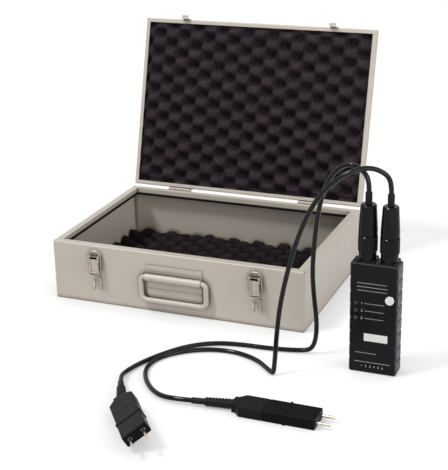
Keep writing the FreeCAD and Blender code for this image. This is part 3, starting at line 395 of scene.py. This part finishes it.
band_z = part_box("battery")[1].z - battery_band
paper_white = {"dark": (228, 227, 222), "light": (238, 237, 233)}
flat_print = {"rough": (0.55, 0.65), "grain": print_grain, "depth": print_grain_depth}
painted_pit_shade = (17, 14, 17)
looks = {
    # The enamel's dark colour is painted shade in crevices and under parts
    "case_paint": (enamel, {"painted_shade_colour": (92, 82, 69), "unshaded_colour": (206, 197, 185)}),
    "edge_trim": (moulding, {"dark": (20, 19, 19), "light": (27, 26, 25), "rough": (0.5, 0.65)}),
    # The foam's light colour is painted light on the bumps, and its black is painted shade in the pits
    "foam": (open_cell_foam, {"black": painted_pit_shade, "painted_light": (70, 61, 67)}),
    # The base pad's copy of the foam is darker: painted shade of the deep tray
    "base_foam_black": (open_cell_foam, {"black": painted_pit_shade, "painted_light": (50, 43, 45)}),
    "bright_steel": (plated, {"dark": (186, 183, 177), "light": (206, 203, 197), "rough": (0.2, 0.34)}),
    "dull_nickel": (plated, {"dark": (158, 152, 142), "light": (184, 178, 168), "rough": (0.36, 0.48)}),
    "black_steel": (plated, {"dark": (44, 43, 42), "light": (60, 58, 56), "rough": (0.34, 0.48)}),
    "pin_metal": (plated, {"dark": (186, 172, 158), "light": (208, 198, 188), "rough": (0.16, 0.28)}),
    # The tester's pale edge colour is a painted highlight on its rounded edges
    "tester_plastic": (highlighted_moulding, {"dark": (20, 18, 22), "painted_light": (62, 62, 66), "rough": (0.2, 0.36),
                                 "shine": 0.12}),
    "connector_plastic": (moulding, {"dark": (12, 11, 13), "light": (17, 16, 18), "rough": (0.12, 0.2),
                                     "shine": 0.16}),
    "white_plastic": (moulding, {**paper_white, "rough": (0.26, 0.34), "shine": 0.5}),
    "label": (moulding, {**paper_white, "rough": (0.45, 0.55), "grain": print_grain, "depth": 0.01 * MM}),
    "lamp": (moulding, {"dark": (56, 54, 59), "light": (66, 64, 69), "rough": (0.3, 0.4)}),
    "cap_plastic": (moulding, {"dark": (15, 14, 16), "light": (21, 20, 22), "rough": (0.3, 0.4)}),
    "board": (moulding, {"dark": (22, 70, 40), "light": (30, 86, 50), "rough": (0.3, 0.4)}),
    "battery_case": (banded, {"lower": (40, 44, 62), "upper": (176, 150, 84), "turn_z": band_z}),
    "lead_rubber": (moulding, {"dark": (10, 8, 9), "light": (15, 13, 14), "rough": (0.1, 0.16),
                               "grain": 0.9 * MM, "depth": 0.015 * MM, "shine": 0.24}),
    "boot_rubber": (moulding, {"dark": (22, 20, 22), "light": (28, 26, 28), "rough": (0.4, 0.5),
                               "grain": 0.4 * MM}),
    "probe_plastic": (moulding, {"dark": (13, 11, 13), "light": (18, 16, 18), "rough": (0.3, 0.4),
                                 "shine": 0.06}),
    "grip_plastic": (moulding, {"dark": (22, 20, 23), "light": (28, 26, 29), "rough": (0.42, 0.55),
                                "grain": 0.7 * MM, "depth": 0.05 * MM, "shine": 0.08}),
    # Painted shade: the black of the sheets that stand for the lever slots
    "slot_black": (moulding, {"dark": (4, 4, 4), "light": (9, 8, 8), "rough": (0.7, 0.8), "shine": 0.02}),
    "ink": (moulding, {"dark": (188, 186, 184), "light": (214, 212, 210), **flat_print}),
    "faint_ink": (moulding, {"dark": (140, 138, 138), "light": (166, 164, 163), **flat_print}),
}
finishes = {name: make(name, **look) for name, (make, look) in looks.items()}


def dress(node, finish):
    mesh = nodes[node].data
    mesh.materials.clear()
    mesh.materials.append(finishes[finish])


for node in nodes:
    dress(node, nodes[node].data.materials[0].name)
for probe in ("probe_a", "probe_b"):
    dress(probe + "_grip", "grip_plastic")
for side in both_sides:
    dress("latch_bail_" + side, "dull_nickel")


# Round bars that follow a smooth path: lever beads and leads
def round_bar(name, path, radius, roundness, finish):
    curve = bpy.data.curves.new(name, "CURVE")
    curve.dimensions = "3D"
    curve.bevel_depth = radius
    curve.bevel_resolution = roundness
    curve.use_fill_caps = True
    spline = curve.splines.new("NURBS")
    spline.points.add(len(path) - 1)
    for point, place in zip(spline.points, path):
        point.co = (*place, 1)
    spline.order_u = path_order
    spline.use_endpoint_u = True
    spline.resolution_u = path_steps
    curve.materials.append(finishes[finish])
    return stand(name, curve)


# Slots and beads of the latch levers
def lever_spot(side, height):
    """The middle of a latch lever's face, at a height."""
    low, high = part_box("latch_lever_" + side)
    return Vector(((low.x + high.x) / 2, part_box("base_pan")[0].y - lever_face, height))


def lever_slot_shade(side):
    """A thin black sheet with round ends near the top of a latch lever, lying on its face: painted shade of a
    slot.
    """
    middle = lever_spot(side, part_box("latch_lever_" + side)[1].z - lever_slot_drop)
    round_r = lever_slot_h / 2
    straight = lever_slot_w / 2 - round_r
    outline = []
    for end in (1, -1):
        for step in range(lever_slot_steps + 1):
            angle = math.pi * (step / lever_slot_steps - 0.5)
            outline.append((end * (straight + round_r * math.cos(angle)), end * round_r * math.sin(angle)))
    count = len(outline)
    points = [middle + Vector((x, y, z)) for y in (0, -lever_slot_t) for x, z in outline]
    around = [(i, (i + 1) % count, count + (i + 1) % count, count + i) for i in range(count)]
    mesh = bpy.data.meshes.new("lever_slot_shade_" + side)
    mesh.from_pydata(points, [], around + [tuple(range(count))[::-1], tuple(range(count, 2 * count))])
    mesh.materials.append(finishes["slot_black"])
    slot = stand("lever_slot_shade_" + side, mesh)
    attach(slot, "latch_lever_" + side)


def lever_bead(side):
    """A raised bead that runs down both edges of a latch lever and across its foot."""
    foot = lever_spot(side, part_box("latch_lever_" + side)[0].z)
    half = lever_bead_half
    route = [(-half, lever_bead_top), (-half, lever_bead_low + lever_bead_corner), (-half, lever_bead_low),
             (lever_bead_corner - half, lever_bead_low)]
    route += [(-x, z) for x, z in reversed(route)]
    path = [foot + Vector((x, 0, z)) for x, z in route]
    bead = round_bar("lever_bead_" + side, path, lever_bead_r, lever_bead_roundness, "case_paint")
    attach(bead, "latch_lever_" + side)


for side in both_sides:
    lever_slot_shade(side)
    lever_bead(side)


# Geometry node trees
def size_tree(name, floats, counts):
    """An empty geometry tree with named size inputs, and its group input's outputs."""
    tree = bpy.data.node_groups.new(name, "GeometryNodeTree")
    tree.interface.new_socket("Geometry", in_out="INPUT", socket_type="NodeSocketGeometry")
    for size in floats:
        tree.interface.new_socket(size, in_out="INPUT", socket_type="NodeSocketFloat")
    for count in counts:
        tree.interface.new_socket(count, in_out="INPUT", socket_type="NodeSocketInt")
    tree.interface.new_socket("Geometry", in_out="OUTPUT", socket_type="NodeSocketGeometry")
    return tree, tree.nodes.new("NodeGroupInput").outputs


def close_tree(tree, geometry, finish):
    real = add(tree, "GeometryNodeRealizeInstances", {"Geometry": geometry})
    dressed = add(tree, "GeometryNodeSetMaterial",
                  {"Geometry": real.outputs[0], "Material": finishes[finish]})
    add(tree, "NodeGroupOutput", {0: dressed.outputs[0]})


def plain_mesh(piece):
    """The mesh of a piece with its modifiers applied."""
    return bpy.data.meshes.new_from_object(piece.evaluated_get(bpy.context.evaluated_depsgraph_get()))


def grown(name, tree, sizes):
    """The tree's result with these sizes, as a plain mesh object at the origin."""
    piece = stand(name, bpy.data.meshes.new(name))
    modifier = piece.modifiers.new("grow", "NODES")
    modifier.node_group = tree
    for socket in tree.interface.items_tree:
        if socket.in_out == "INPUT" and socket.name in sizes:
            modifier[socket.identifier] = sizes[socket.name]
    plain = plain_mesh(piece)
    piece.modifiers.remove(modifier)
    piece.data = plain
    return piece


# Foam pads
def egg_crate_tree(finish):
    """Slab whose upper face rises in staggered rounded bumps that die away towards its edges."""
    tree, size = size_tree("egg_crate", ("Length", "Width", "Thickness", "Pitch X", "Pitch Y", "Skew",
                                         "Bump", "Clear X", "Clear Y", "Fade", "Edge"), ("Columns", "Rows"))
    block_size = add(tree, "ShaderNodeCombineXYZ",
                     {"X": size["Length"], "Y": size["Width"], "Z": size["Thickness"]})
    block = add(tree, "GeometryNodeMeshCube",
                {"Size": block_size.outputs[0], "Vertices X": size["Columns"], "Vertices Y": size["Rows"]})
    place = add(tree, "GeometryNodeInputPosition").outputs[0]
    straight = add(tree, "ShaderNodeSeparateXYZ", {0: place}).outputs
    turned = add(tree, "ShaderNodeVectorRotate",
                 {"Vector": place, "Angle": size["Skew"]}, rotation_type="Z_AXIS")
    skewed = add(tree, "ShaderNodeSeparateXYZ", {0: turned.outputs[0]}).outputs
    waves = []
    fades = []
    for axis in "XY":
        turns = sums(tree, "DIVIDE", skewed[axis], size["Pitch " + axis])
        waves.append(sums(tree, "COSINE", sums(tree, "MULTIPLY", turns, math.tau)))
        outside = sums(tree, "ABSOLUTE", straight[axis])
        clear = size["Clear " + axis]
        inner = sums(tree, "SUBTRACT", clear, size["Fade"])
        fades.append(spread(tree, outside, (inner, clear), (1.0, size["Edge"]), "SMOOTHSTEP"))
    wave = spread(tree, sums(tree, "MULTIPLY", *waves), (foam_pit_wave, foam_top_wave), curve="SMOOTHSTEP")
    blotches = add(tree, "ShaderNodeTexNoise", {"Vector": place, "Scale": 1 / foam_blotch, "Detail": 1.0})
    uneven = spread(tree, blotches.outputs[0], (noise_low, noise_high), (foam_lowest_bump, 1.0))
    rise = sums(tree, "MULTIPLY", wave, uneven)
    kept_rise = sums(tree, "MULTIPLY", rise, sums(tree, "MULTIPLY", *fades))
    lift = add(tree, "ShaderNodeCombineXYZ", {"Z": sums(tree, "MULTIPLY", kept_rise, size["Bump"])})
    upper = sums(tree, "GREATER_THAN", straight["Z"], 0.0)
    bumpy = add(tree, "GeometryNodeSetPosition",
                {"Geometry": block.outputs["Mesh"], "Selection": upper, "Offset": lift.outputs[0]})
    marked = add(tree, "GeometryNodeStoreNamedAttribute",
                 {"Geometry": bumpy.outputs[0], "Name": "rise", "Value": rise})
    close_tree(tree, marked.outputs[0], finish)
    return tree


def foam_pad(name, finish, thickness, margin, edge, place):
    """An egg-crate pad that stands for a foam node of the same length and width."""
    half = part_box("base_foam")[1]
    pad = grown(name, egg_crate_tree(finish), {
        "Length": 2 * half.x, "Width": 2 * half.y, "Thickness": thickness, "Pitch X": foam_pitch[0],
        "Pitch Y": foam_pitch[1], "Skew": foam_skew, "Bump": foam_bump, "Clear X": half.x - margin,
        "Clear Y": half.y - margin, "Fade": foam_fade, "Edge": edge,
        "Columns": round(2 * half.x / foam_cell), "Rows": round(2 * half.y / foam_cell)})
    pad.data.transform(place @ Matrix.Translation((0, 0, -thickness / 2)))
    pad.data.shade_smooth()
    pad.data.set_sharp_from_angle(angle=foam_sharp_edge)
    return pad


base_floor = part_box("base_pan")[0].z + steel_sheet
base_place = Matrix.Translation((0, 0, base_floor + base_foam_thickness))
base_pad = foam_pad("base_foam_pad", "base_foam_black", base_foam_thickness, 0.0, 1.0, base_place)
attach(base_pad, "case")
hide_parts("base_foam")

lid_hinge = next(joint for joint in frame["joints"] if joint["name"] == "lid_hinge")
hinge_place = Matrix.Translation(lid_hinge["pos_m"])
lid_swing = Matrix.Rotation(math.radians(-lid_hinge["range_deg"][1]), 4, "X")
lid_opening = hinge_place @ lid_swing @ hinge_place.inverted()
lid_valley = Matrix.Translation((0, 0, lid_valley_height)) @ Matrix.Rotation(math.pi, 4, "X")
lid_pad = foam_pad("lid_foam_pad", "foam", lid_foam_thickness, lid_foam_margin, lid_foam_edge,
                   lid_opening @ lid_valley)
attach(lid_pad, "lid")
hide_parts("lid_foam")


# Leads
def lead(name, node, route):
    path = [Vector(place) * MM for place in route]
    cable = round_bar(name, path, lead_diameter / 2, lead_roundness, "lead_rubber")
    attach(cable, "tester")
    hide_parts(node)


lead("left_lead_cable", "lead_left", lead_left_route)
lead("right_lead_cable", "lead_right", lead_right_route)

# Printing on the tester's face: plain numbers and ruled lines
face_low, face_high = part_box("tester_front_shell")
face_middle = (face_low.x + face_high.x) / 2
lamps_low, lamps_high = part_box("lamps")
lamp_r = (lamps_high.x - lamps_low.x) / 2
lamp_pitch = (lamps_high.z - lamps_low.z - 2 * lamp_r) / (lamp_count - 1)
top_lamp_z = lamps_high.z - lamp_r - face_low.z


def print_on_face(piece, x, z):
    """Stands a flat print drawn in XY on the tester's face, its reading side to the front."""
    spot = Matrix.Translation((face_middle + x, face_low.y, face_low.z + z))
    piece.data.transform(spot @ Matrix.Rotation(math.pi / 2, 4, "X"))
    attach(piece, "tester")


def ruled_rows_tree():
    tree, size = size_tree("ruled_rows", ("Pitch", "Width", "Height", "Depth"), ("Count",))
    step = add(tree, "ShaderNodeCombineXYZ", {"Y": sums(tree, "MULTIPLY", size["Pitch"], -1.0)})
    line = add(tree, "GeometryNodeMeshLine", {"Count": size["Count"], "Offset": step.outputs[0]})
    bar_size = add(tree, "ShaderNodeCombineXYZ",
                   {"X": size["Width"], "Y": size["Height"], "Z": size["Depth"]})
    bar = add(tree, "GeometryNodeMeshCube", {"Size": bar_size.outputs[0]})
    bars = add(tree, "GeometryNodeInstanceOnPoints",
               {"Points": line.outputs[0], "Instance": bar.outputs["Mesh"]})
    close_tree(tree, bars.outputs[0], "faint_ink")
    return tree


ruled_rows = ruled_rows_tree()


def rows(name, width, x, z, count=1, pitch=0.0):
    """Ruled lines below each other, the first one at the place given."""
    sizes = {"Count": count, "Pitch": pitch, "Width": width, "Height": ink_line, "Depth": 2 * ink_thickness}
    print_on_face(grown(name, ruled_rows, sizes), x, z)


def number(name, figures, size, x, z):
    words = bpy.data.curves.new(name, "FONT")
    words.body = figures
    words.size = size
    words.align_x = "CENTER"
    words.align_y = "CENTER"
    words.extrude = ink_thickness
    drawn = stand(name + "_drawn", words)
    plain = plain_mesh(drawn)
    bpy.data.objects.remove(drawn)
    plain.materials.append(finishes["ink"])
    print_on_face(stand(name, plain), x, z)


rows("heading_rows", heading_w, *heading_place, heading_count, heading_pitch)
rows("lamp_rows", lamp_row_w, lamp_row_x, top_lamp_z, lamp_count, lamp_pitch)
rows("rating_row", rating_w, *rating_place)
rows("foot_row", foot_w, *foot_place)
number("foot_numbers", foot_numbers, foot_number_size, *foot_number_place)
for index in range(lamp_count):
    figure = str(index + 1)
    number("lamp_number_" + figure, figure, lamp_number_size, lamp_number_x, top_lamp_z - index * lamp_pitch)


# Studio: floor, lights and world
def backdrop_rays(tree):
    """1 for the rays that see the backdrop itself: the camera's, mirrored and refracted ones."""
    rays = add(tree, "ShaderNodeLightPath").outputs
    seen = sums(tree, "MAXIMUM", rays["Is Camera Ray"], rays["Is Glossy Ray"])
    return sums(tree, "MAXIMUM", seen, rays["Is Transmission Ray"])


def floor_paper():
    """White paper whose glow dims softly round what stands on it: a painted contact shadow."""
    material = bpy.data.materials.new("floor_paper")
    material.use_nodes = True
    tree = material.node_tree
    tree.nodes.remove(tree.nodes["Principled BSDF"])
    seen = backdrop_rays(tree)
    whiteness = spread(tree, seen, (0.0, 1.0), (floor_white, floor_seen))
    matt = add(tree, "ShaderNodeBsdfDiffuse", {"Color": whiteness})
    # Painted contact shadow: the glow dims where things stand within reach
    clear = open_share(tree, painted_shadow_reach, painted_shadow_rays)
    lift = spread(tree, clear, (0.0, 1.0), (floor_lift * (1 - painted_shadow_depth), floor_lift))
    glow = add(tree, "ShaderNodeEmission", {"Strength": sums(tree, "MULTIPLY", seen, lift)})
    lit = add(tree, "ShaderNodeAddShader", {0: matt.outputs[0], 1: glow.outputs[0]})
    tree.links.new(lit.outputs[0], tree.nodes["Material Output"].inputs["Surface"])
    return material


floor_mesh = bpy.data.meshes.new("floor")
corners = [(x * floor_half, y * floor_half, -floor_drop) for x, y in ((-1, -1), (1, -1), (1, 1), (-1, 1))]
floor_mesh.from_pydata(corners, [], [(0, 1, 2, 3)])
floor_mesh.materials.append(floor_paper())
stand("floor", floor_mesh)

world = bpy.data.worlds.new("studio")
scene.world = world
world.use_nodes = True
sky = world.node_tree
background = sky.nodes["Background"].inputs
background["Color"].default_value = (1, 1, 1, 1)
sky.links.new(spread(sky, backdrop_rays(sky), (0.0, 1.0), (sky_white, 1.0)), background["Strength"])

key = bpy.data.lights.new("key", "SUN")
key.energy = key_strength
key.angle = key_softness
stand("key", key).rotation_euler = key_from.to_track_quat("Z", "Y").to_euler()


def softbox(name, place, size, power):
    """A square lamp turned towards the middle of the picture."""
    light = bpy.data.lights.new(name, "AREA")
    light.size = size
    light.energy = power
    lamp = stand(name, light)
    lamp.location = place
    lamp.rotation_euler = (place - camera_target).to_track_quat("Z", "Y").to_euler()


softbox("front", front_place, front_size, front_power)
softbox("side", side_place, side_size, side_power)

# Camera
camera = bpy.data.cameras.new("camera")
camera.lens = camera_lens
camera.sensor_width = camera_sensor
viewer = stand("camera", camera)
back = Vector((math.sin(camera_azimuth) * math.cos(camera_elevation),
               -math.cos(camera_azimuth) * math.cos(camera_elevation), math.sin(camera_elevation)))
viewer.location = camera_target + back * camera_distance
viewer.rotation_mode = "QUATERNION"
viewer.rotation_quaternion = (-back).to_track_quat("-Z", "Y") @ Quaternion((0, 0, 1), camera_roll)
scene.camera = viewer
